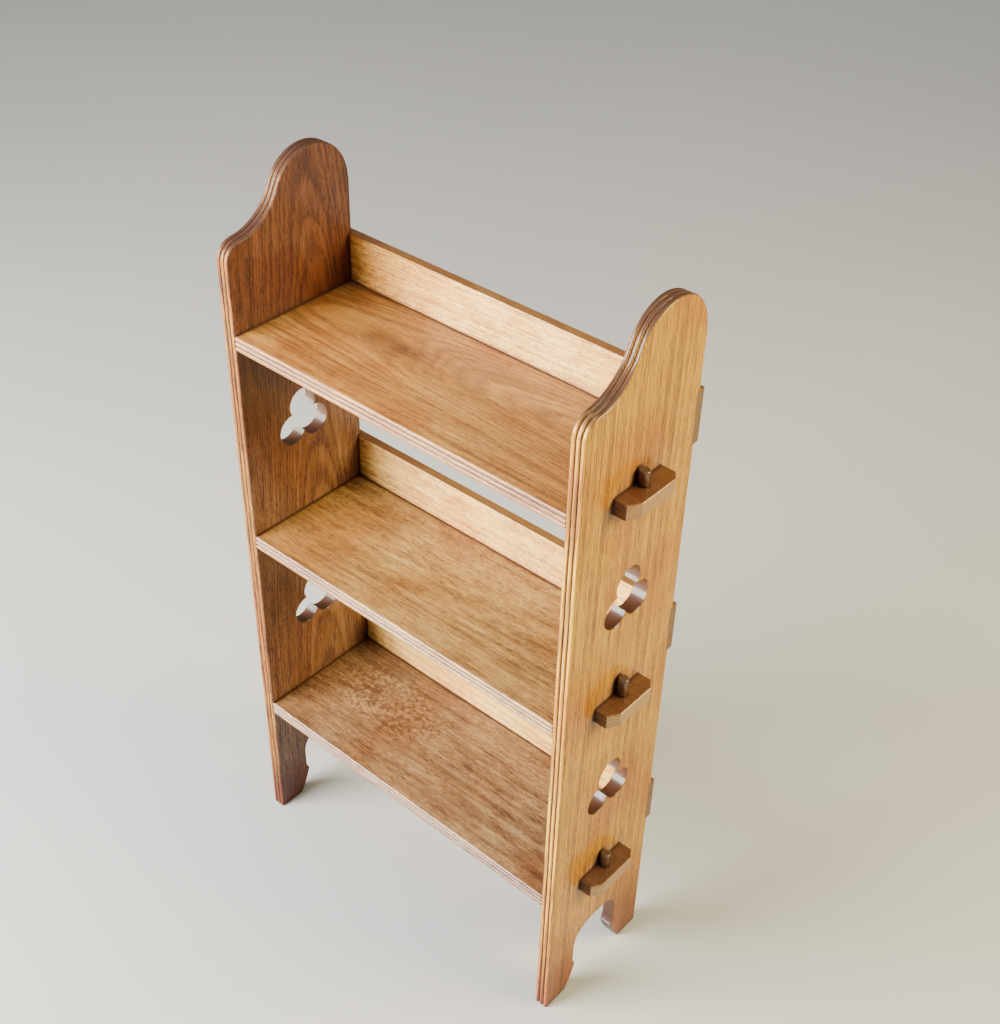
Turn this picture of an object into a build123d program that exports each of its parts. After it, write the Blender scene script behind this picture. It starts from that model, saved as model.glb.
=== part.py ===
from build123d import *
import math
import os

# Open oak bookcase that knocks down: three shelves whose through tenons are held by loose pegs
# outside two shaped side boards, with a low rail behind each shelf, let in to the sides and screwed to them.
# Millimetres, +Z up, +X to the right as a reader faces it, front towards -Y.
# The origin is on the floor, in the middle of the whole piece.

# Driving dimensions
INNER_WIDTH = 488.0        # between the two sides
BOARD = 19.0               # thickness of the sides and the shelves
SIDE_DEPTH = 190.0
SIDE_HEIGHT = 996.5
SHELF_HEIGHTS = {"bottom": 214.0, "middle": 511.0, "top": 804.0}   # upper face of each shelf

# Head of each side: small shoulder, hollow sweep, round crest
SHOULDER_HEIGHT = 894.0    # where the straight front edge ends
SHOULDER_RADIUS = 24.0
HOLLOW_RADIUS = 70.0
CREST_RADIUS = 57.0

# Foot of each side: a flat arch that pinches in at two toes and splays to the floor
ARCH_HEIGHT = 108.0
ARCH_HALF_WIDTH = 43.0
ARCH_CORNER_RADIUS = 30.0
ARCH_SPRING_HEIGHT = 53.0  # where the upright cheek starts to curve in towards the toe
TOE_HALF_WIDTH = 38.5
TOE_HEIGHT = 40.0
FLOOR_HALF_WIDTH = 57.0
FOOT_BULGE = 2.0           # how far the foot swells between the floor and the toe

# Trefoil piercing: three overlapping round lobes, one piercing in each bay
TREFOIL_HEIGHTS = (350.5, 648.0)
LOBE_RADIUS = 20.5
LOBE_SPACING = 36.5

# Reeding on the front edges
REED_COUNT = 3
REED_DEPTH = 1.9

# Through tenons and their pegs
TENON_WIDTH = 80.0
TENON_CENTRE_DEPTH = 92.0  # from the front edge of the side
TENON_PROJECTION = 26.0
TENON_FRONT_CLIP = (9.0, 14.0)   # along X, along Y
TENON_REAR_CLIP = (7.0, 10.0)
TENON_CLEARANCE = 0.15
SHELF_SETBACK = 0.5
PEG_LENGTH = 50.0
PEG_TOP_DIAMETER = 13.5
PEG_BOTTOM_DIAMETER = 11.0
PEG_STANDS = {"bottom": 21.0, "middle": 25.0, "top": 19.0}   # what each peg shows above its tenon
PEG_CLEARANCE = 0.05
PEG_OFF_SIDE = 0.3         # between the peg and the outer face of the side
PEG_EDGE = 2.0

# Rails and screws
RAIL_THICKNESS = 12.5
RAIL_HEIGHT = 67.5
RAIL_LET_IN = 4.5          # depth of its notches in the rear edges of the sides
RAIL_CLEARANCE = 0.1
RAIL_BELOW_SHELF_TOP = 4.0
SCREW_HEAD_DIAMETER = 8.0
SCREW_SHANK_DIAMETER = 4.0
SCREW_LENGTH = 35.0
SCREW_SPACING = 34.0
SCREW_SLOT_WIDTH = 1.2
SCREW_SLOT_DEPTH = 1.0
SCREW_CLEARANCE = 0.05

EASED_EDGE = 1.0           # arris taken off by hand

# Worked out
FRONT = -(SIDE_DEPTH + RAIL_THICKNESS - RAIL_LET_IN) / 2
REAR = FRONT + SIDE_DEPTH
RAIL_FRONT = REAR - RAIL_LET_IN
RAIL_REAR = RAIL_FRONT + RAIL_THICKNESS
OUTER_FACE = INNER_WIDTH / 2 + BOARD
TENON_Y = FRONT + TENON_CENTRE_DEPTH
PEG_X = OUTER_FACE + PEG_TOP_DIAMETER / 2 + PEG_OFF_SIDE
ARCH_Y = FRONT + SIDE_DEPTH / 2
NUDGE = 1.0                # how far a cutting tool runs past a face
TOLERANCE = 0.01           # for telling edges apart by where they lie


def towards(start, end, distance):
    """Point at a distance from start, on the line to end."""
    length = math.dist(start, end)
    return tuple(s + (e - s) * distance / length for s, e in zip(start, end))


def midpoint(start, end):
    return tuple((s + e) / 2 for s, e in zip(start, end))


def head_centres():
    """Centres of the shoulder, hollow and crest circles, which touch each other in turn."""
    shoulder = (FRONT + SHOULDER_RADIUS, SHOULDER_HEIGHT)
    crest = (REAR - CREST_RADIUS, SIDE_HEIGHT - CREST_RADIUS)
    to_shoulder = SHOULDER_RADIUS + HOLLOW_RADIUS
    to_crest = CREST_RADIUS + HOLLOW_RADIUS
    span = math.dist(shoulder, crest)
    along = (to_shoulder**2 - to_crest**2 + span**2) / (2 * span)
    across = math.sqrt(to_shoulder**2 - along**2)
    unit = ((crest[0] - shoulder[0]) / span, (crest[1] - shoulder[1]) / span)
    hollow = (
        shoulder[0] + unit[0] * along - unit[1] * across,
        shoulder[1] + unit[1] * along + unit[0] * across,
    )
    return shoulder, hollow, crest


def head_edges():
    """Shoulder, hollow and crest of a side's outline, from the front edge to the rear edge."""
    shoulder, hollow, crest = head_centres()
    front_end = (FRONT, SHOULDER_HEIGHT)
    shoulder_end = towards(shoulder, hollow, SHOULDER_RADIUS)
    crest_start = towards(crest, hollow, CREST_RADIUS)
    rear_end = (REAR, crest[1])
    on_shoulder = towards(shoulder, midpoint(front_end, shoulder_end), SHOULDER_RADIUS)
    in_hollow = towards(hollow, midpoint(shoulder_end, crest_start), HOLLOW_RADIUS)
    return [
        ThreePointArc(front_end, on_shoulder, shoulder_end),
        ThreePointArc(shoulder_end, in_hollow, crest_start),
        ThreePointArc(crest_start, (crest[0], SIDE_HEIGHT), rear_end),
    ]


def side_outline():
    crest_height = SIDE_HEIGHT - CREST_RADIUS
    straight = Polyline((REAR, crest_height), (REAR, 0), (FRONT, 0), (FRONT, SHOULDER_HEIGHT))
    return make_face([*head_edges(), *straight.edges()])


def foot_cheek(hand):
    """One half of the foot opening's outline, from the middle of its top down to the floor."""
    round_centre = (ARCH_HALF_WIDTH - ARCH_CORNER_RADIUS, ARCH_HEIGHT - ARCH_CORNER_RADIUS)
    round_middle = towards(round_centre, (ARCH_HALF_WIDTH, ARCH_HEIGHT), ARCH_CORNER_RADIUS)
    toe = (TOE_HALF_WIDTH, TOE_HEIGHT)
    spring = (ARCH_HALF_WIDTH, ARCH_SPRING_HEIGHT)
    inward = ARCH_HALF_WIDTH - TOE_HALF_WIDTH
    cove_radius = (inward**2 + (ARCH_SPRING_HEIGHT - TOE_HEIGHT) ** 2) / (2 * inward)
    cove_centre = (ARCH_HALF_WIDTH - cove_radius, ARCH_SPRING_HEIGHT)
    floor = (FLOOR_HALF_WIDTH, 0)
    slope = math.dist(toe, floor)
    chord = midpoint(toe, floor)
    swell = (chord[0] - FOOT_BULGE * TOE_HEIGHT / slope, chord[1] - FOOT_BULGE * (floor[0] - toe[0]) / slope)
    points = [
        (0, ARCH_HEIGHT),
        (round_centre[0], ARCH_HEIGHT),
        round_middle,
        (ARCH_HALF_WIDTH, round_centre[1]),
        spring,
        towards(cove_centre, midpoint(spring, toe), cove_radius),
        toe,
        swell,
        floor,
    ]
    placed = [(hand * y, z) for y, z in points]
    return [
        Line(placed[0], placed[1]),
        ThreePointArc(*placed[1:4]),
        Line(placed[3], placed[4]),
        ThreePointArc(*placed[4:7]),
        ThreePointArc(*placed[6:9]),
    ]


def foot_opening():
    """Flat arch between the two feet, with the toes and the splay down to the floor."""
    below = Polyline(
        (FLOOR_HALF_WIDTH, 0),
        (FLOOR_HALF_WIDTH, -NUDGE),
        (-FLOOR_HALF_WIDTH, -NUDGE),
        (-FLOOR_HALF_WIDTH, 0),
    )
    return Pos(ARCH_Y, 0) * make_face([*foot_cheek(1), *foot_cheek(-1), *below.edges()])


def trefoil(height):
    """Three lobes about a point, one upwards and two downwards, with their middle cleared."""
    reach = LOBE_SPACING / math.sqrt(3)
    shape = RegularPolygon(radius=reach, side_count=3, rotation=90)
    for angle in (90, 210, 330):
        centre = (reach * math.cos(math.radians(angle)), reach * math.sin(math.radians(angle)))
        shape += Pos(*centre) * Circle(LOBE_RADIUS)
    return Pos(ARCH_Y, height) * shape


def reed_waste():
    """What the reeding takes off a square edge. Local X runs across the edge and Y into the board."""
    pitch = BOARD / REED_COUNT
    edges = []
    for index in range(REED_COUNT):
        start = -BOARD / 2 + index * pitch
        edges.append(ThreePointArc((start, REED_DEPTH), (start + pitch / 2, 0), (start + pitch, REED_DEPTH)))
    outside = BOARD / 2 + NUDGE
    rim = Polyline(
        (BOARD / 2, REED_DEPTH),
        (outside, REED_DEPTH),
        (outside, -NUDGE),
        (-outside, -NUDGE),
        (-outside, REED_DEPTH),
        (-BOARD / 2, REED_DEPTH),
    )
    return make_face([*edges, *rim.edges()])


def peg_cone(allowance):
    """Taper of a peg in its own frame, from its lower end at Z = 0, grown by an allowance."""
    return Cone(
        PEG_BOTTOM_DIAMETER / 2 + allowance,
        PEG_TOP_DIAMETER / 2 + allowance,
        PEG_LENGTH,
        align=(Align.CENTER, Align.CENTER, Align.MIN),
    )


def peg_place(name, hand):
    return Pos(hand * PEG_X, TENON_Y, SHELF_HEIGHTS[name] + PEG_STANDS[name] - PEG_LENGTH)


def peg(name, hand):
    body = peg_cone(0)
    body = fillet(body.edges().sort_by(Axis.Z)[-1], PEG_EDGE)
    body = chamfer(body.edges().sort_by(Axis.Z)[0], PEG_EDGE / 2)
    return peg_place(name, hand) * body


def tenon_outline(hand, allowance):
    """Plan of a through tenon, from the shelf's shoulder outwards."""
    front = TENON_Y - TENON_WIDTH / 2 - allowance
    rear = TENON_Y + TENON_WIDTH / 2 + allowance
    tip = OUTER_FACE + TENON_PROJECTION
    corners = [
        (INNER_WIDTH / 2 - NUDGE, front),
        (tip - TENON_FRONT_CLIP[0], front),
        (tip, front + TENON_FRONT_CLIP[1]),
        (tip, rear - TENON_REAR_CLIP[1]),
        (tip - TENON_REAR_CLIP[0], rear),
        (INNER_WIDTH / 2 - NUDGE, rear),
    ]
    placed = [(hand * x, y) for x, y in corners]
    return make_face(Polyline(*placed, close=True))


def tenon(name, hand, allowance=0.0):
    outline = Pos(0, 0, SHELF_HEIGHTS[name] - BOARD - allowance) * tenon_outline(hand, allowance)
    return extrude(outline, BOARD + 2 * allowance, dir=(0, 0, 1))


def shelf(name):
    top = SHELF_HEIGHTS[name]
    front = FRONT + SHELF_SETBACK
    board = Pos(0, (front + RAIL_FRONT) / 2, top - BOARD / 2) * Box(INNER_WIDTH, RAIL_FRONT - front, BOARD)
    board = chamfer(board.edges().filter_by(Axis.X).group_by(Axis.Y)[-1], EASED_EDGE)
    edge_start = (-INNER_WIDTH / 2 - NUDGE, front, top - BOARD / 2)
    edge_plane = Plane(origin=edge_start, x_dir=(0, 0, -1), z_dir=(1, 0, 0))
    board -= extrude(edge_plane * reed_waste(), INNER_WIDTH + 2 * NUDGE)
    for hand in (-1, 1):
        tongue = tenon(name, hand)
        tip_edges = tongue.edges().filter_by(Plane.XY).filter_by(
            lambda edge: abs(edge.center().X) > OUTER_FACE + TENON_PROJECTION - TENON_FRONT_CLIP[0]
        )
        board += chamfer(tip_edges, EASED_EDGE)
    for hand in (-1, 1):
        board -= peg_place(name, hand) * peg_cone(PEG_CLEARANCE)
    return board


def rail_heights(name):
    """Lower and upper edge of the rail behind a shelf."""
    lower = SHELF_HEIGHTS[name] - RAIL_BELOW_SHELF_TOP
    return lower, lower + RAIL_HEIGHT


def screw_places(name):
    """Where the screws of one rail enter its rear face."""
    lower, upper = rail_heights(name)
    middle = (lower + upper) / 2
    places = []
    for hand in (-1, 1):
        for step in (-0.5, 0.5):
            x = hand * (INNER_WIDTH + BOARD) / 2
            places.append((x, RAIL_REAR, middle + step * SCREW_SPACING))
    return places


def screw_blank(allowance):
    """Countersunk screw pointing along -Z, head flush with Z = 0, grown by an allowance."""
    head_radius = SCREW_HEAD_DIAMETER / 2 + allowance
    shank_radius = SCREW_SHANK_DIAMETER / 2 + allowance
    head_depth = head_radius - shank_radius
    tip_length = SCREW_SHANK_DIAMETER
    profile = Polyline(
        (0, 0),
        (head_radius, 0),
        (shank_radius, -head_depth),
        (shank_radius, -SCREW_LENGTH + tip_length),
        (0, -SCREW_LENGTH - allowance),
        close=True,
    )
    return revolve(Plane.XZ * make_face(profile), Axis.Z)


def place_screw(blank, place):
    return Pos(*place) * Rot(-90, 0, 0) * blank


def screws(name):
    blank = screw_blank(0) - Box(SCREW_HEAD_DIAMETER + NUDGE, SCREW_SLOT_WIDTH, 2 * SCREW_SLOT_DEPTH)
    return [place_screw(blank, place) for place in screw_places(name)]


def rail(name):
    lower, upper = rail_heights(name)
    place = Pos(0, (RAIL_FRONT + RAIL_REAR) / 2, (lower + upper) / 2)
    board = place * Box(2 * OUTER_FACE, RAIL_THICKNESS, RAIL_HEIGHT)
    rear_edges = board.faces().sort_by(Axis.Y)[-1].edges()
    top_front = board.faces().sort_by(Axis.Z)[-1].edges().sort_by(Axis.Y)[0]
    board = fillet([*rear_edges, top_front], EASED_EDGE)
    for place in screw_places(name):
        board -= place_screw(screw_blank(SCREW_CLEARANCE), place)
    return board


def rail_notch(name, middle_x):
    """Where a rail is let in to the rear edge of a side."""
    lower, upper = rail_heights(name)
    size = (BOARD + 2 * NUDGE, RAIL_LET_IN + NUDGE, RAIL_HEIGHT + 2 * RAIL_CLEARANCE)
    return Pos(middle_x, (RAIL_FRONT + REAR + NUDGE) / 2, (lower + upper) / 2) * Box(*size)


def reed_cutter(middle_x):
    """Runs the reeding up the front edge of a side, over its head and down to the rear edge."""
    edges = [Line((FRONT, -NUDGE), (FRONT, SHOULDER_HEIGHT)), *head_edges()]
    path = Plane.YZ.offset(middle_x) * Wire(edges)
    section = Plane(origin=(middle_x, FRONT, -NUDGE), x_dir=(1, 0, 0), z_dir=(0, 0, 1)) * reed_waste()
    return sweep(section, path=path)


def eased_edges(board):
    """Edges of a side that lose their arris: the openings, the rear edge and the soles of the feet."""
    def is_eased(edge):
        bounds = edge.bounding_box()
        in_face = bounds.size.X < TOLERANCE
        at_front = bounds.min.Y < FRONT + TOLERANCE and bounds.size.Z > TOLERANCE
        return in_face and not at_front and bounds.max.Z < SIDE_HEIGHT - CREST_RADIUS + TOLERANCE

    return board.edges().filter_by(is_eased)


def side(hand):
    middle_x = hand * (INNER_WIDTH + BOARD) / 2
    board = Pos(middle_x - BOARD / 2, 0, 0) * extrude(Plane.YZ * side_outline(), BOARD)
    for opening in (foot_opening(), *[trefoil(height) for height in TREFOIL_HEIGHTS]):
        board -= Pos(middle_x - BOARD / 2 - NUDGE, 0, 0) * extrude(Plane.YZ * opening, BOARD + 2 * NUDGE)
    board = chamfer(eased_edges(board), EASED_EDGE)
    board -= reed_cutter(middle_x)
    for name in SHELF_HEIGHTS:
        board -= tenon(name, hand, TENON_CLEARANCE)
        board -= rail_notch(name, middle_x)
        for place in screw_places(name):
            board -= place_screw(screw_blank(SCREW_CLEARANCE), place)
    return board


def write(node, shape):
    export_step(shape, f"parts/{node}.step")


def main():
    os.makedirs("parts", exist_ok=True)
    for word, hand in (("left", -1), ("right", 1)):
        write(f"{word}_side", side(hand))
        for name in SHELF_HEIGHTS:
            write(f"{name}_{word}_peg", peg(name, hand))
    for name in SHELF_HEIGHTS:
        write(f"{name}_shelf", shelf(name))
        write(f"{name}_rail", rail(name))
        write(f"{name}_rail_screws", Compound(children=screws(name)))


main()
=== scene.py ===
import math

import bpy
from mathutils import Matrix, Vector


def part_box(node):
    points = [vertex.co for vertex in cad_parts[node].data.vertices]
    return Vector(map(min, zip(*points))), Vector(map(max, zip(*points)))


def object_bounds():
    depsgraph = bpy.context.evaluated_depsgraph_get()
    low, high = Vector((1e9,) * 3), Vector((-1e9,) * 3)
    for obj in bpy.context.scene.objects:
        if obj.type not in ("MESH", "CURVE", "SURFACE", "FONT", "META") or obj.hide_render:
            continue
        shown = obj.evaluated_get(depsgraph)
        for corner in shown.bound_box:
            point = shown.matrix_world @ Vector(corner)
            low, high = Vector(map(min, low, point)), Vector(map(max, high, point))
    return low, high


# Open oak bookcase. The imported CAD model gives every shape. This script gives the woods, the brass, the
# floor, the light and the camera. Metres, +Z up, +X to a reader's right, -Y towards the reader.

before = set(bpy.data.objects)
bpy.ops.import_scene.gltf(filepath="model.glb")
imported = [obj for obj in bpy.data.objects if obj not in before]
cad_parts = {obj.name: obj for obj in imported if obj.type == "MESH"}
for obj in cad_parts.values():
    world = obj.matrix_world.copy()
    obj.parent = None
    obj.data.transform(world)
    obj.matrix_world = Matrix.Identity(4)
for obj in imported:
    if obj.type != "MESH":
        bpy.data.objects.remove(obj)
cad_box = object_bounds()

MM = 0.001
LEVELS = ("top", "middle", "bottom")
HANDS = {"left": -1, "right": 1}       # the way that each side faces along X
BOARD = 19 * MM                        # thickness of a side
FRONT = cad_box[0].y
OUTER_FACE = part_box("right_side")[1].x
SIDE_MIDDLE = OUTER_FACE - BOARD / 2   # halfway through a side

# Camera, in front of the bookcase and to its right, looking down on the shelves
CAMERA_PLACE = Vector((0.9107, -0.9862, 1.6601))
CAMERA_YAW = -40.195       # degrees, from +Y towards +X
CAMERA_PITCH = 37.646      # degrees below the horizon
CAMERA_ROLL = 1.573        # degrees
LENS_MM = 51.92
SENSOR_MM = 36.0


class Graph:
    """Wires the nodes of one material. A value may be a number or another node's output."""

    def __init__(self, name):
        self.material = bpy.data.materials.new(name)
        self.material.use_nodes = True
        self.tree = self.material.node_tree
        self.shader = self.tree.nodes["Principled BSDF"]

    def node(self, kind, **settings):
        node = self.tree.nodes.new(kind)
        for key, value in settings.items():
            setattr(node, key, value)
        return node

    def put(self, socket, value):
        if isinstance(value, bpy.types.NodeSocket):
            self.tree.links.new(value, socket)
        else:
            socket.default_value = value

    def surface(self, values):
        """Puts each value in the shader's input of that name."""
        for key, value in values.items():
            self.put(self.shader.inputs[key], value)

    def math(self, operation, *values):
        node = self.node("ShaderNodeMath", operation=operation)
        for socket, value in zip(node.inputs, values):
            self.put(socket, value)
        return node.outputs[0]

    def add(self, *values):
        total = values[0]
        for value in values[1:]:
            total = self.math("ADD", total, value)
        return total

    def times(self, *values):
        total = values[0]
        for value in values[1:]:
            total = self.math("MULTIPLY", total, value)
        return total

    def minus(self, a, b):
        return self.math("SUBTRACT", a, b)

    def vector(self, x, y, z):
        node = self.node("ShaderNodeCombineXYZ")
        for socket, value in zip(node.inputs, (x, y, z)):
            self.put(socket, value)
        return node.outputs[0]

    def split(self, vector):
        node = self.node("ShaderNodeSeparateXYZ")
        self.put(node.inputs[0], vector)
        return tuple(node.outputs)

    def scaled(self, coordinates, rates):
        """A vector of the coordinates, each times its own rate."""
        return self.vector(*[self.times(value, rate) for value, rate in zip(coordinates, rates)])

    def stretched(self, coordinates, lengths, shift=0.0):
        """A vector for noise whose features are as long, in metres, as lengths says in each coordinate."""
        parts = [self.times(value, 1 / length) for value, length in zip(coordinates, lengths)]
        if shift:
            parts = [self.add(part, shift) for part in parts]
        return self.vector(*parts)

    def noise(self, vector, detail=2.0, roughness=0.5):
        """Smooth noise from 0 to 1, about one unit of the vector across."""
        node = self.node("ShaderNodeTexNoise")
        self.put(node.inputs["Vector"], vector)
        node.inputs["Scale"].default_value = 1.0
        node.inputs["Detail"].default_value = detail
        node.inputs["Roughness"].default_value = roughness
        return node.outputs["Fac"]

    def swing(self, vector, detail=2.0, roughness=0.5):
        """The same noise from -0.5 to 0.5."""
        return self.minus(self.noise(vector, detail, roughness), 0.5)

    def blotches(self, place, per_metre, detail):
        """Noise that is alike in every direction, with so many features to the metre."""
        return self.noise(self.scaled(place, (per_metre, per_metre, per_metre)), detail)

    def fade(self, coordinates, centre, reach):
        """1 at the centre of a patch, fading out over its reach in each coordinate."""
        squares = []
        for value, middle, length in zip(coordinates, centre, reach):
            part = self.times(self.minus(value, middle), 1 / length)
            squares.append(self.times(part, part))
        away = self.add(*squares)
        return self.math("EXPONENT", self.times(away, -1.0))

    def per_cell(self, value):
        """A random number from 0 to 1 for each whole number."""
        node = self.node("ShaderNodeTexWhiteNoise", noise_dimensions="1D")
        self.put(node.inputs["W"], self.math("FLOOR", value))
        return node.outputs["Value"]

    def remap(self, value, low, high, to_low=0.0, to_high=1.0):
        """A smooth step from to_low to to_high as the value goes from low to high."""
        node = self.node("ShaderNodeMapRange", interpolation_type="SMOOTHSTEP")
        for socket, number in zip(node.inputs, (value, low, high, to_low, to_high)):
            self.put(socket, number)
        return node.outputs[0]

    def mix(self, factor, a, b, blend="MIX"):
        node = self.node("ShaderNodeMix", data_type="RGBA", blend_type=blend)
        self.put(node.inputs["Factor"], factor)
        self.put(node.inputs[6], a)
        self.put(node.inputs[7], b)
        return node.outputs[2]

    def stain(self, factor, colour, stain):
        """The colour, multiplied by the stain as far as the factor says."""
        return self.mix(factor, colour, stain, "MULTIPLY")

    def crevices(self, distance, low, high):
        """0 in the open and 1 deep in a corner or a groove that is as narrow as distance."""
        node = self.node("ShaderNodeAmbientOcclusion", samples=8)
        node.inputs["Distance"].default_value = distance
        return self.remap(self.minus(1.0, node.outputs["AO"]), low, high)

    def soft_edges(self, radius):
        """The normal with every arris rounded to radius, and a mask of those arrises."""
        bevel = self.node("ShaderNodeBevel", samples=6)
        bevel.inputs["Radius"].default_value = radius
        dot = self.node("ShaderNodeVectorMath", operation="DOT_PRODUCT")
        self.put(dot.inputs[0], bevel.outputs[0])
        self.put(dot.inputs[1], self.node("ShaderNodeNewGeometry").outputs["Normal"])
        return bevel.outputs[0], self.remap(dot.outputs["Value"], 0.95, 0.78)


def rgb(red, green, blue):
    return (red, green, blue, 1.0)


# The colours of each wood: pale summer wood, its middle tone, dark spring wood, open vessels, silver rays,
# what multiplies it in its redder clouds, end grain, and the grime with painted shade deep in its grooves
GOLDEN = {
    "pale": rgb(0.640, 0.345, 0.020),
    "mid": rgb(0.440, 0.200, 0.008),
    "dark": rgb(0.140, 0.044, 0.006),
    "pore": rgb(0.070, 0.020, 0.004),
    "ray": rgb(0.700, 0.400, 0.080),
    "red": rgb(0.840, 0.620, 0.420),
    "end": rgb(0.040, 0.013, 0.006),
    "grime_and_shade": rgb(0.050, 0.018, 0.009),
}
BROWN = {
    "pale": rgb(0.610, 0.330, 0.080),
    "mid": rgb(0.370, 0.170, 0.037),
    "dark": rgb(0.110, 0.035, 0.009),
    "pore": rgb(0.060, 0.018, 0.005),
    "ray": rgb(0.640, 0.350, 0.085),
    "red": rgb(0.740, 0.540, 0.400),
    # End grain, paler than the face: partly the wood's end grain, partly a painted reflection on the tenon
    # ends
    "end": rgb(0.460, 0.260, 0.100),
    "grime_and_shade": rgb(0.048, 0.016, 0.008),
}
RAIL = {
    **GOLDEN,
    "pale": rgb(0.880, 0.620, 0.190),
    "mid": rgb(0.740, 0.440, 0.110),
    "dark": rgb(0.400, 0.180, 0.050),
    "ray": rgb(0.900, 0.700, 0.280),
}
DARK = {
    "pale": rgb(0.200, 0.088, 0.036),
    "mid": rgb(0.105, 0.044, 0.018),
    "dark": rgb(0.034, 0.013, 0.007),
    "pore": rgb(0.013, 0.006, 0.003),
    "ray": rgb(0.140, 0.060, 0.024),
    "red": rgb(0.800, 0.550, 0.450),
    "end": rgb(0.065, 0.029, 0.015),
    "grime_and_shade": rgb(0.010, 0.005, 0.003),
}

# Multipliers of the colour of the wood: stains, and painted light and shade on the feet, in the corners
# and grooves and on the faces and front edges of the sides. The golden wood has next to no blue, so one
# that makes it less yellow has a blue well above 1.
SMUDGED = rgb(0.26, 0.13, 0.12)
# Feet: dirt from mopping, and painted shade near the floor
MOPPED_AND_SHADED_FOOT = rgb(0.48, 0.24, 0.12)
# Corners: old wax, and painted shade where parts meet
WAXED_AND_SHADED_CORNER = rgb(0.56, 0.50, 0.62)
# Grooves: old wax and grime, and painted shade deep in them
WAXED_AND_SHADED_GROOVE = rgb(0.40, 0.22, 0.18)
TENON_STAIN = rgb(0.36, 0.26, 0.36)
# Front edges of the sides: painted sunlight on the right one, painted shade on the left one
PAINTED_FRONT_LIGHT_AND_SHADE = {"left": rgb(0.60, 0.54, 0.80), "right": rgb(1.35, 1.50, 1.40)}
# Inner faces of the sides: painted shade, darker towards the top
INNER_FACE_SHADE_LOW = rgb(0.48, 0.50, 5.00)
INNER_FACE_SHADE_HIGH = rgb(0.26, 0.185, 2.00)
# Outer faces of the sides: a golden tint as painted sunlight, and painted shade in the recesses round tenons
# and pegs
OUTER_FACE_PAINTED_SUN = rgb(0.98, 1.00, 0.22)
OUTER_FACE_PAINTED_SHADE = rgb(0.78, 0.88, 8.00)

# Dirt, which covers the wood
HANDLED_TENON = rgb(0.105, 0.038, 0.012)
HANDLED_RAIL = rgb(0.100, 0.036, 0.010)

ARRIS = 0.9 * MM           # radius that wear has given the arrises
# The feet are darkened up to this height, for dirt and as painted shade
DARK_FOOT_HEIGHT = 150 * MM   # how far up the feet are dark

# How near each other two surfaces are where the colour darkens between them: old wax, dirt and painted shade
# in the grooves and corners, and painted shade alone in the recess round the tenons and pegs
GROOVE = 4 * MM
CORNER = 12 * MM
RECESS = 30 * MM

# How each board was sawn from its tree, with every length in metres:
#   grain: the axis that the grain runs along
#   pith: where the middle of the tree lies, across the board and through it
#   drift: how far the pith moves across and through in each metre along the grain
#   ring, wander, fray: the width of a year's growth, how far the rings sway and how ragged they are
#   bundle, streak, fibre: how long the marks of each kind run
#   mottle, bands, contrast: how strongly the bundles and streaks, the groups of rings and the rings show
#   pores, rays: how strongly the open vessels and the ray flecks show
#   ray_size: how far a fleck reaches along the trunk, out from the pith and round it
#   coat, roughness: of the wax
# Some boards have more. In plan, wild is a patch of ragged rings, ray_patch the only place with flecks, and
# smudges are dark marks, each with its centre and its reach. A swirl is where a knot pushed the rings aside,
# with its centre and its reach along and across the grain. A stain covers the whole board.
PLAIN = {"bundle": 0.055, "streak": 0.022, "fibre": 0.010, "pores": 0.65, "coat": 0.40, "roughness": 0.46}
SIDE_CUTS = {
    # the left side is sawn near the middle of the tree and shows arches; the right one is straight-grained
    "left": {
        **PLAIN,
        "grain": "Z",
        "pith": (0.012, -SIDE_MIDDLE - 0.075),
        "drift": (0.010, -0.040),
        "ring": 2.6 * MM,
        "wander": 0.014,
        "fray": 2.5 * MM,
        "streak": 0.035,
        "fibre": 0.016,
        "mottle": 0.6,
        "bands": 0.6,
        "contrast": 0.22,
        "pores": 0.90,
        "rays": 0.12,
        "ray_size": (0.010, 0.010, 0.0016),
        "coat": 0.25,
    },
    "right": {
        **PLAIN,
        "grain": "Z",
        "pith": (0.36, SIDE_MIDDLE + 0.16),
        "drift": (0.012, 0.008),
        "ring": 2.4 * MM,
        "wander": 0.006,
        "fray": 1.0 * MM,
        "bundle": 0.20,
        "streak": 0.090,
        "fibre": 0.030,
        "mottle": 0.40,
        "bands": 0.3,
        "contrast": 0.28,
        "pores": 0.35,
        "rays": 0.10,
        "ray_size": (0.014, 0.012, 0.0015),
    },
}
SHELF_CUT = {
    **PLAIN,
    "grain": "X",
    "fray": 2.5 * MM,
    "mottle": 0.6,
    "contrast": 0.13,
    "ray_size": (0.008, 0.008, 0.0016),
}
RAIL_CUT = {
    **PLAIN,
    "grain": "X",
    "ring": 3.2 * MM,
    "wander": 0.018,
    "fray": 1.5 * MM,
    "mottle": 0.5,
    "bands": 0.6,
    "contrast": 0.32,
    "pores": 0.50,
    "rays": 0.35,
    "ray_size": (0.012, 0.008, 0.0020),
}
PEG_CUT = {
    **PLAIN,
    "grain": "Z",
    "pith": (0.02, 0.30),
    "drift": (0.0, 0.0),
    "ring": 2.0 * MM,
    "wander": 0.004,
    "fray": 0.5 * MM,
    "mottle": 1.0,
    "bands": 0.5,
    "contrast": 0.25,
    "rays": 0.2,
    "ray_size": (0.010, 0.008, 0.0012),
    "coat": 0.8,
    "roughness": 0.30,
}


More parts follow.
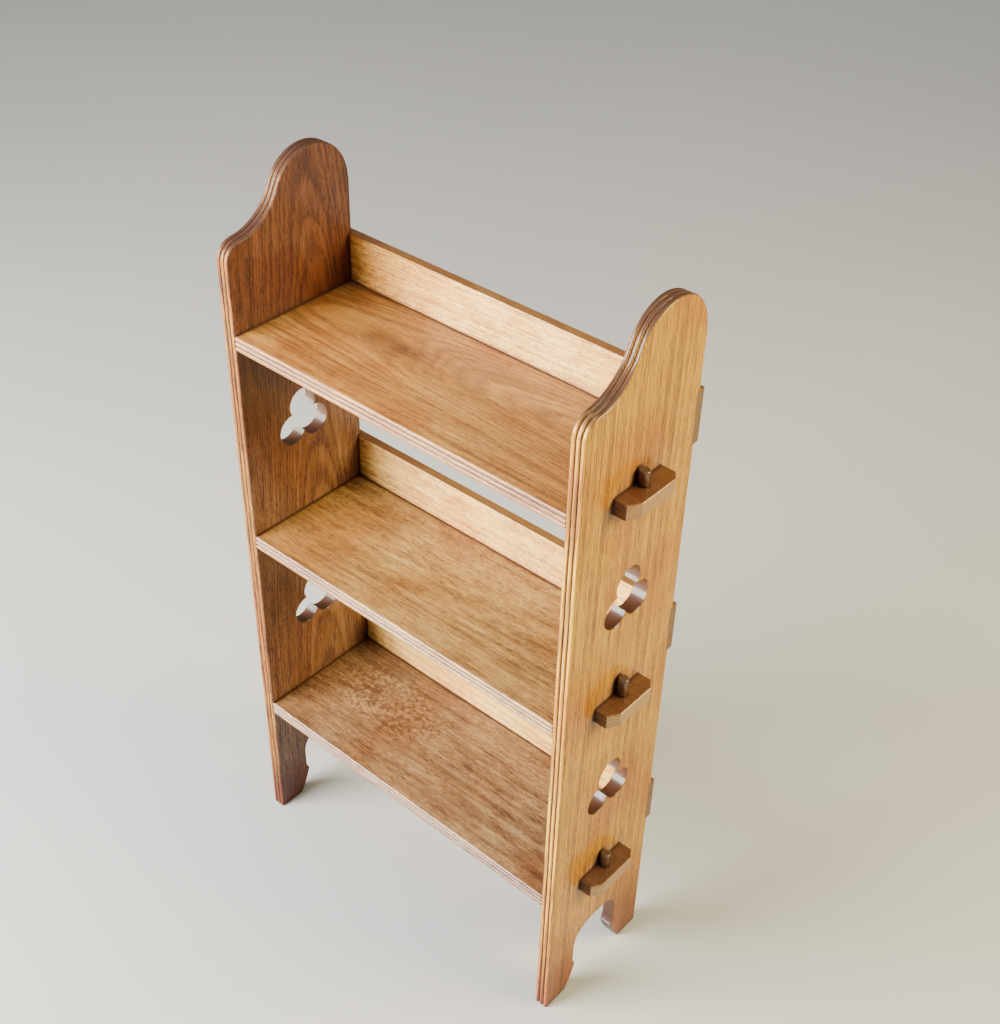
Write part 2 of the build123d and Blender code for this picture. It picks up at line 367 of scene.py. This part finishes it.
def shelf_cut(level):
    """The top shelf has a flame round a swirl, and the bottom one a patch of ray figure."""
    low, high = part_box(f"{level}_shelf")
    z = (low.z + high.z) / 2
    cuts = {
        "top": {
            "pith": (0.020, z - 0.085),
            "drift": (0.02, 0.045),
            "ring": 2.6 * MM,
            "wander": 0.016,
            "streak": 0.012,
            "mottle": 0.5,
            "bands": 0.8,
            "rays": 0.10,
            "wild": ((0.015, -0.005), (0.12, 0.03)),
            "swirls": [
                {"centre": (-0.085, 0.018), "reach": (0.070, 0.034), "push": 0.008},
                {"centre": (0.110, -0.020), "reach": (0.120, 0.024), "push": 0.005},
            ],
            "smudges": [
                {"centre": (-0.075, 0.015), "reach": (0.030, 0.014), "strength": 0.95},
                {"centre": (-0.125, 0.022), "reach": (0.026, 0.012), "strength": 0.75},
                {"centre": (-0.030, 0.035), "reach": (0.260, 0.060), "strength": 0.48},
            ],
        },
        "middle": {
            "pith": (-0.16, z - 0.11),
            "drift": (0.03, -0.03),
            "ring": 2.2 * MM,
            "wander": 0.010,
            "bands": 0.5,
            "rays": 0.20,
            "stain": rgb(0.82, 0.94, 1.15),
        },
        "bottom": {
            "pith": (-0.36, z - 0.02),
            "drift": (0.02, 0.02),
            "ring": 2.2 * MM,
            "wander": 0.010,
            "bands": 0.6,
            "rays": 0.65,
            "ray_size": (0.0065, 0.008, 0.0012),
            "ray_patch": ((-0.122, 0.015), (0.100, 0.055)),
            "stain": rgb(0.50, 0.56, 1.00),
        },
    }
    return {**SHELF_CUT, **cuts[level]}


def rail_cut(level, index):
    """Each rail lay a little nearer the pith than the one above it."""
    low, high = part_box(f"{level}_rail")
    z = (low.z + high.z) / 2
    return {**RAIL_CUT, "pith": (0.11, z - 0.30 + 0.05 * index), "drift": (0.01, 0.04 - 0.03 * index)}


class Oak(Graph):
    """The figure of waxed oak, sawn as cut says and coloured as tone says."""

    def __init__(self, name, cut, tone):
        super().__init__(name)
        self.cut = cut
        self.tone = tone
        texture = self.node("ShaderNodeTexCoord")
        self.place = self.split(texture.outputs["Object"])
        self.facing = self.split(texture.outputs["Normal"])
        self.lean = {axis: self.math("ABSOLUTE", value) for axis, value in zip("XYZ", self.facing)}
        self.log = self.log_coordinates()
        self.grow_rings()
        self.grow_fibres()
        self.grow_rays()

    def log_coordinates(self):
        """Where a point of the board lay in the tree: along the trunk, out from the pith, and round it."""
        cut = self.cut
        x, y, z = self.place
        along, across, through = {"X": (x, y, z), "Z": (z, y, x)}[cut["grain"]]
        slow = self.scaled((along, across, through), (2.2, 9.0, 9.0))
        quick = self.scaled((along, across, through), (7.0, 26.0, 26.0))
        wander = self.times(self.swing(slow, 1.0), cut["wander"])
        ripple = self.times(self.swing(quick, 1.5), cut["wander"] * 0.22)
        pith_across = self.add(cut["pith"][0], self.times(along, cut["drift"][0]))
        pith_through = self.add(cut["pith"][1], self.times(along, cut["drift"][1]))
        out_across = self.minus(across, pith_across)
        out_through = self.minus(through, pith_through)
        squares = self.add(self.times(out_across, out_across), self.times(out_through, out_through))
        radius = self.add(self.math("SQRT", squares), wander, ripple)
        for swirl in cut.get("swirls", ()):
            near = self.fade((along, across), swirl["centre"], swirl["reach"])
            radius = self.add(radius, self.times(near, swirl["push"]))
        angle = self.math("ARCTAN2", out_across, out_through)
        around = self.times(angle, math.hypot(*cut["pith"]))
        return along, self.math("MAXIMUM", radius, MM), around

    def grow_rings(self):
        """Growth rings, no two of the same width, feathered by the vessels in them."""
        along, radius, _ = self.log
        fray = self.cut["fray"]
        if "wild" in self.cut:
            fray = self.add(fray, self.times(self.fade(self.place, *self.cut["wild"]), 3.5 * MM))
        feather = self.swing(self.stretched(self.log, (0.018, 0.0035, 0.0035), 2.0), 2.5, 0.6)
        frayed = self.add(radius, self.times(feather, fray))
        even = self.times(frayed, 1 / self.cut["ring"])
        uneven = self.times(self.noise(self.vector(self.times(even, 0.37), 0, 0)), 2.2)
        count = self.add(even, uneven)
        phase = self.math("FRACT", count)
        self.spring = self.times(self.remap(phase, 0.0, 0.10), self.remap(phase, 0.15, 0.75, 1.0, 0.0))
        self.each_ring = self.per_cell(count)
        self.bands = self.noise(self.vector(self.times(frayed, 170.0), self.times(along, 3.0), 4.0), 1.5)

    def grow_fibres(self):
        """Fibres in bundles, in streaks and singly, and the open vessels, which crowd in the spring wood."""
        cut, log = self.cut, self.log
        self.bundles = self.noise(self.stretched(log, (cut["bundle"], 0.016, 0.014)), 3.0, 0.6)
        self.streaks = self.noise(self.stretched(log, (cut["streak"], 0.0016, 0.0014), 7.3), 3.0, 0.65)
        self.fibres = self.noise(self.stretched(log, (cut["fibre"], 0.0008, 0.0007), 3.1), 2.0, 0.7)
        vessels = self.noise(self.stretched(log, (0.008, 0.0011, 0.0010), 11.9), 1.5, 0.6)
        crowd = self.add(vessels, self.times(self.spring, 0.09), self.times(self.bundles, 0.10))
        self.pores = self.remap(crowd, 0.62, 0.74)

    def grow_rays(self):
        """Silver figure: short wavy flecks, pale and dark, where the saw ran along the tree's rays."""
        along, radius, around = self.log
        wave = self.swing(self.stretched(self.log, (0.016, 0.010, 0.10), 5.0))
        bent = (along, radius, self.add(around, self.times(wave, 0.006)))
        flecks = self.noise(self.stretched(bent, self.cut["ray_size"], 17.0), 1.5, 0.55)
        if "ray_patch" in self.cut:
            ragged = self.noise(self.stretched(self.log, (0.03, 0.012, 0.012), 29.0))
            near = self.fade(self.place, *self.cut["ray_patch"])
            where = self.remap(self.add(near, self.times(ragged, -0.7)), -0.10, 0.25)
        else:
            clouds = self.noise(self.stretched(self.log, (0.15, 0.05, 0.05), 23.0), 1.0)
            where = self.remap(clouds, 0.34, 0.62)
        self.pale_rays = self.times(self.remap(flecks, 0.560, 0.650), where)
        self.dark_rays = self.times(self.remap(flecks, 0.485, 0.410), where)

    def bare_wood(self):
        """Pale to dark, by how deep the grain is at a point, with its vessels and ray flecks."""
        cut, tone = self.cut, self.tone
        depth = self.add(
            self.times(self.minus(self.bundles, 0.5), 1.60 * cut["mottle"]),
            self.times(self.minus(self.bands, 0.5), cut["bands"]),
            self.times(self.minus(self.streaks, 0.5), 1.60 * cut["mottle"]),
            self.times(self.minus(self.fibres, 0.5), 1.50),
            self.times(self.minus(self.each_ring, 0.5), cut["contrast"]),
            self.times(self.spring, cut["contrast"]),
            0.38,
        )
        colour = self.mix(self.remap(depth, -0.05, 0.50), tone["pale"], tone["mid"])
        colour = self.mix(self.remap(depth, 0.36, 0.90), colour, tone["dark"])
        colour = self.mix(self.times(self.pores, cut["pores"]), colour, tone["pore"])
        colour = self.mix(self.times(self.pale_rays, cut["rays"] * 0.7), colour, tone["ray"])
        return self.mix(self.times(self.dark_rays, cut["rays"] * 0.9), colour, tone["dark"])

    def stained_wood(self, colour):
        """Redder clouds, smudges and the stain of the whole board, and its end grain."""
        cut, tone = self.cut, self.tone
        clouds = self.remap(self.blotches(self.place, 8.0, 3.0), 0.38, 0.66, 0.0, 0.85)
        colour = self.stain(clouds, colour, tone["red"])
        for smudge in cut.get("smudges", ()):
            near = self.fade(self.place, smudge["centre"], smudge["reach"])
            streaky = self.times(near, self.remap(self.streaks, 0.25, 0.60), smudge["strength"])
            colour = self.stain(streaky, colour, SMUDGED)
        if "stain" in cut:
            colour = self.stain(1.0, colour, cut["stain"])
        end_grain = self.times(self.remap(self.lean[cut["grain"]], 0.35, 0.80), 0.85)
        lines = self.remap(self.add(self.streaks, self.times(self.spring, 0.35)), 0.35, 0.80, 0.0, 0.65)
        return self.mix(end_grain, colour, self.mix(lines, tone["end"], tone["pore"]))

    def worn_and_shaded_wood(self, colour, arris, corner):
        """Rubbed arrises, and feet darkened by the dirt of mopping and by painted shade.

        Old wax, grime and painted shade darken the corners and grooves.
        """
        scuffs = self.blotches(self.place, 60.0, 2.0)
        groove = self.crevices(GROOVE, 0.06, 0.30)
        deepest = self.crevices(GROOVE, 0.22, 0.40)
        rubbed = self.times(arris, self.minus(1.0, groove), self.remap(scuffs, 0.40, 0.58))
        colour = self.mix(self.times(rubbed, 0.50), colour, self.tone["pale"])
        # Feet darkened upwards from the floor: dirt from mopping, and painted shade
        ragged_height = self.add(self.place[2], self.times(self.minus(scuffs, 0.5), 0.03))
        colour = self.stain(self.remap(ragged_height, DARK_FOOT_HEIGHT, 10 * MM), colour, MOPPED_AND_SHADED_FOOT)
        # Painted shade in the corners, together with the old wax there
        colour = self.stain(corner, colour, WAXED_AND_SHADED_CORNER)
        # Painted shade in the grooves, together with the old wax and grime there
        colour = self.stain(self.times(groove, 0.80), colour, WAXED_AND_SHADED_GROOVE)
        return self.mix(self.times(deepest, 0.90), colour, self.tone["grime_and_shade"])

    def roughness(self, corner):
        """Satin wax: duller in the pores and corners, brighter on the rays."""
        smears = self.minus(self.blotches(self.place, 14.0, 3.0), 0.5)
        return self.add(
            self.cut["roughness"],
            self.times(smears, 0.22),
            self.times(self.pores, 0.20),
            self.times(corner, 0.15),
            self.times(self.pale_rays, -0.10),
        )

    def relief(self, normal):
        """Open pores, standing fibres and the shallow waves that a hand plane left."""
        height = self.add(
            self.times(self.pores, -0.60),
            self.times(self.streaks, 0.30),
            self.times(self.fibres, 0.30),
            self.times(self.spring, -0.15),
            self.times(self.blotches(self.place, 22.0, 1.0), 1.4),
        )
        bump = self.node("ShaderNodeBump")
        bump.inputs["Distance"].default_value = 0.18 * MM
        bump.inputs["Strength"].default_value = 0.8
        self.put(bump.inputs["Height"], height)
        self.put(bump.inputs["Normal"], normal)
        return bump.outputs[0]


def oak(name, cut, tone, tint_board=None):
    """The material of one board. The last argument, if given, recolours the wood: for stain and dirt, and on
    the sides for painted light and shade.
    """
    wood = Oak(name, cut, tone)
    colour = wood.stained_wood(wood.bare_wood())
    if tint_board:
        colour = tint_board(wood, colour)
    normal, arris = wood.soft_edges(ARRIS)
    # Mask of the corners, where the colour takes painted shade and old wax
    corner = wood.crevices(CORNER, 0.18, 0.62)
    wood.surface({
        "Base Color": wood.worn_and_shaded_wood(colour, arris, corner),
        "Roughness": wood.roughness(corner),
        "Normal": wood.relief(normal),
        "Coat Weight": cut["coat"],
        "Coat Roughness": 0.16,
        "IOR": 1.46,
        "Specular IOR Level": 0.28,
    })
    return wood.material


def dark_tenons(wood, colour):
    """Tenons outside the sides have taken more stain and handling than the shelf they belong to."""
    outside = wood.remap(wood.math("ABSOLUTE", wood.place[0]), OUTER_FACE - 2 * MM, OUTER_FACE + 1 * MM)
    long_grain = wood.remap(wood.lean["X"], 0.8, 0.4)
    stained = wood.stain(1.0, colour, TENON_STAIN)
    stained = wood.mix(0.45, stained, HANDLED_TENON)
    return wood.mix(wood.times(outside, long_grain), colour, stained)


def side_stain_light_and_shade(hand):
    """A side's colour for painted light and shade. Its outer faces take a golden tint as painted sunlight,
    with painted shade round the tenons, and its inner face is darkened as painted shade, more towards the
    top.

    The front edge is apart from them: painted sunlight on the right side, painted shade on the left one.
    The sawn edges take the dark end-grain colour, partly as stain and partly as painted shade.
    """

    def tint_board(wood, colour):
        outward = wood.times(wood.facing[0], HANDS[hand])
        # Painted shade on the inner face, darker towards the top
        high = wood.remap(wood.place[2], 0.35, 0.86)
        inner = wood.mix(high, INNER_FACE_SHADE_LOW, INNER_FACE_SHADE_HIGH)
        colour = wood.stain(wood.remap(outward, -0.3, -0.8), colour, inner)
        # Painted light on the outer face: golden sunlight in the open, painted shade near the tenons and
        # pegs
        shade = wood.crevices(RECESS, 0.06, 0.34)
        outer = wood.mix(shade, OUTER_FACE_PAINTED_SUN, OUTER_FACE_PAINTED_SHADE)
        colour = wood.stain(wood.remap(outward, 0.3, 0.8), colour, outer)
        edge = wood.remap(wood.lean["X"], 0.6, 0.3)
        sawn = wood.remap(wood.place[1], FRONT + 14 * MM, FRONT + 24 * MM)
        # Front edge: painted sunlight on the right side, painted shade on the left side
        colour = wood.stain(wood.times(edge, wood.minus(1.0, sawn)), colour, PAINTED_FRONT_LIGHT_AND_SHADE[hand])
        # Sawn edges take the dark end-grain colour: partly stain, partly painted shade in the piercings and
        # foot arches
        return wood.mix(wood.times(edge, sawn, 0.92), colour, wood.tone["end"])

    return tint_board


def handled_top(wood, colour):
    """The upper edge of a rail is dark from dust and hands."""
    up = wood.remap(wood.facing[2], 0.5, 0.9)
    return wood.mix(wood.times(up, 0.90), colour, HANDLED_RAIL)


def aged_brass(name):
    graph = Graph(name)
    place = graph.split(graph.node("ShaderNodeTexCoord").outputs["Object"])
    tarnish = graph.remap(graph.blotches(place, 420.0, 3.0), 0.35, 0.65)
    colour = graph.mix(tarnish, rgb(0.62, 0.43, 0.17), rgb(0.30, 0.20, 0.09))
    colour = graph.mix(graph.crevices(1.5 * MM, 0.2, 0.7), colour, rgb(0.06, 0.04, 0.02))
    roughness = graph.remap(tarnish, 0.0, 1.0, 0.28, 0.52)
    graph.surface({"Base Color": colour, "Roughness": roughness, "Metallic": 1.0})
    return graph.material


def plaster(name):
    graph = Graph(name)
    cloud = graph.noise(graph.node("ShaderNodeTexCoord").outputs["Object"], 3.0)
    colour = graph.mix(cloud, rgb(0.33, 0.325, 0.318), rgb(0.37, 0.365, 0.357))
    graph.surface({"Base Color": colour, "Roughness": 0.75})
    return graph.material


def dress(node, material):
    """Gives a CAD node one material in all its slots."""
    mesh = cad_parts[node].data
    if not mesh.materials:
        mesh.materials.append(material)
    for index in range(len(mesh.materials)):
        mesh.materials[index] = material


def dress_bookcase():
    brass = aged_brass("old_brass")
    peg_wood = oak("peg_oak", PEG_CUT, DARK)
    for hand, cut in SIDE_CUTS.items():
        dress(f"{hand}_side", oak(f"{hand}_side_oak", cut, GOLDEN, side_stain_light_and_shade(hand)))
    for index, level in enumerate(LEVELS):
        dress(f"{level}_shelf", oak(f"{level}_shelf_oak", shelf_cut(level), BROWN, dark_tenons))
        dress(f"{level}_rail", oak(f"{level}_rail_oak", rail_cut(level, index), RAIL, handled_top))
        dress(f"{level}_rail_screws", brass)
        for hand in HANDS:
            dress(f"{level}_{hand}_peg", peg_wood)


def stand(name, data):
    """Puts a new object made of data in the scene."""
    thing = bpy.data.objects.new(name, data)
    bpy.context.scene.collection.objects.link(thing)
    return thing


def lay_floor():
    """A pale round floor of fine plaster, wide enough to reach the horizon in every view."""
    radius = 60.0
    count = 64
    turns = [2 * math.pi * index / count for index in range(count)]
    rim = [(radius * math.cos(turn), radius * math.sin(turn), 0) for turn in turns]
    mesh = bpy.data.meshes.new("floor")
    mesh.from_pydata(rim, [], [range(count)])
    mesh.materials.append(plaster("pale_floor"))
    floor = stand("floor", mesh)


def softbox(name, azimuth, elevation, distance, size, watts, colour):
    """A softbox that faces the bookcase, with azimuth 0 in front of it and 90 to its right, in degrees."""
    middle = (cad_box[0] + cad_box[1]) / 2
    turn, rise = math.radians(azimuth), math.radians(elevation)
    towards = Vector((math.sin(turn) * math.cos(rise), -math.cos(turn) * math.cos(rise), math.sin(rise)))
    light = bpy.data.lights.new(name, "AREA")
    light.shape = "RECTANGLE"
    light.size, light.size_y = size
    light.energy = watts
    light.color = colour
    lamp = stand(name, light)
    lamp.location = middle + towards * distance
    lamp.rotation_mode = "QUATERNION"
    lamp.rotation_quaternion = (-towards).to_track_quat("-Z", "Y")


def overhead_glow():
    """A sun as wide as a ceiling, for the light that comes from above."""
    light = bpy.data.lights.new("overhead", "SUN")
    light.energy = 1.9
    light.angle = math.radians(70)
    lamp = stand("overhead", light)
    lamp.rotation_euler = (math.radians(8), 0, math.radians(20))


def studio_walls():
    """A soft warm grey all round, which darkens upwards."""
    world = bpy.data.worlds.new("studio")
    world.use_nodes = True
    tree = world.node_tree
    height = tree.nodes.new("ShaderNodeSeparateXYZ")
    tree.links.new(tree.nodes.new("ShaderNodeTexCoord").outputs["Generated"], height.inputs[0])
    strength = tree.nodes.new("ShaderNodeMapRange")
    strength.inputs["To Min"].default_value = 0.31
    strength.inputs["To Max"].default_value = 0.16
    tree.links.new(height.outputs["Z"], strength.inputs["Value"])
    background = tree.nodes["Background"]
    background.inputs["Color"].default_value = rgb(1.0, 0.97, 0.90)
    tree.links.new(strength.outputs[0], background.inputs["Strength"])
    bpy.context.scene.world = world


def light_studio():
    softbox("window", azimuth=-30, elevation=19, distance=2.6, size=(1.8, 2.0), watts=540,
            colour=(1.0, 0.965, 0.92))
    softbox("side_window", azimuth=118, elevation=30, distance=2.4, size=(1.2, 1.2), watts=125,
            colour=(1.0, 0.86, 0.38))
    overhead_glow()
    studio_walls()


def place_camera():
    yaw, pitch, roll = (math.radians(angle) for angle in (CAMERA_YAW, CAMERA_PITCH, CAMERA_ROLL))
    forward = Vector((math.sin(yaw) * math.cos(pitch), math.cos(yaw) * math.cos(pitch), -math.sin(pitch)))
    level_right = Vector((math.cos(yaw), -math.sin(yaw), 0))
    level_up = level_right.cross(forward)
    right = level_right * math.cos(roll) + level_up * math.sin(roll)
    up = level_up * math.cos(roll) - level_right * math.sin(roll)
    data = bpy.data.cameras.new("camera")
    data.sensor_fit = "HORIZONTAL"
    data.sensor_width = SENSOR_MM
    data.lens = LENS_MM
    camera = stand("camera", data)
    turn = Matrix((right, up, -forward)).transposed()
    camera.matrix_world = Matrix.Translation(CAMERA_PLACE) @ turn.to_4x4()
    bpy.context.scene.camera = camera


place_camera()
dress_bookcase()
lay_floor()
light_studio()
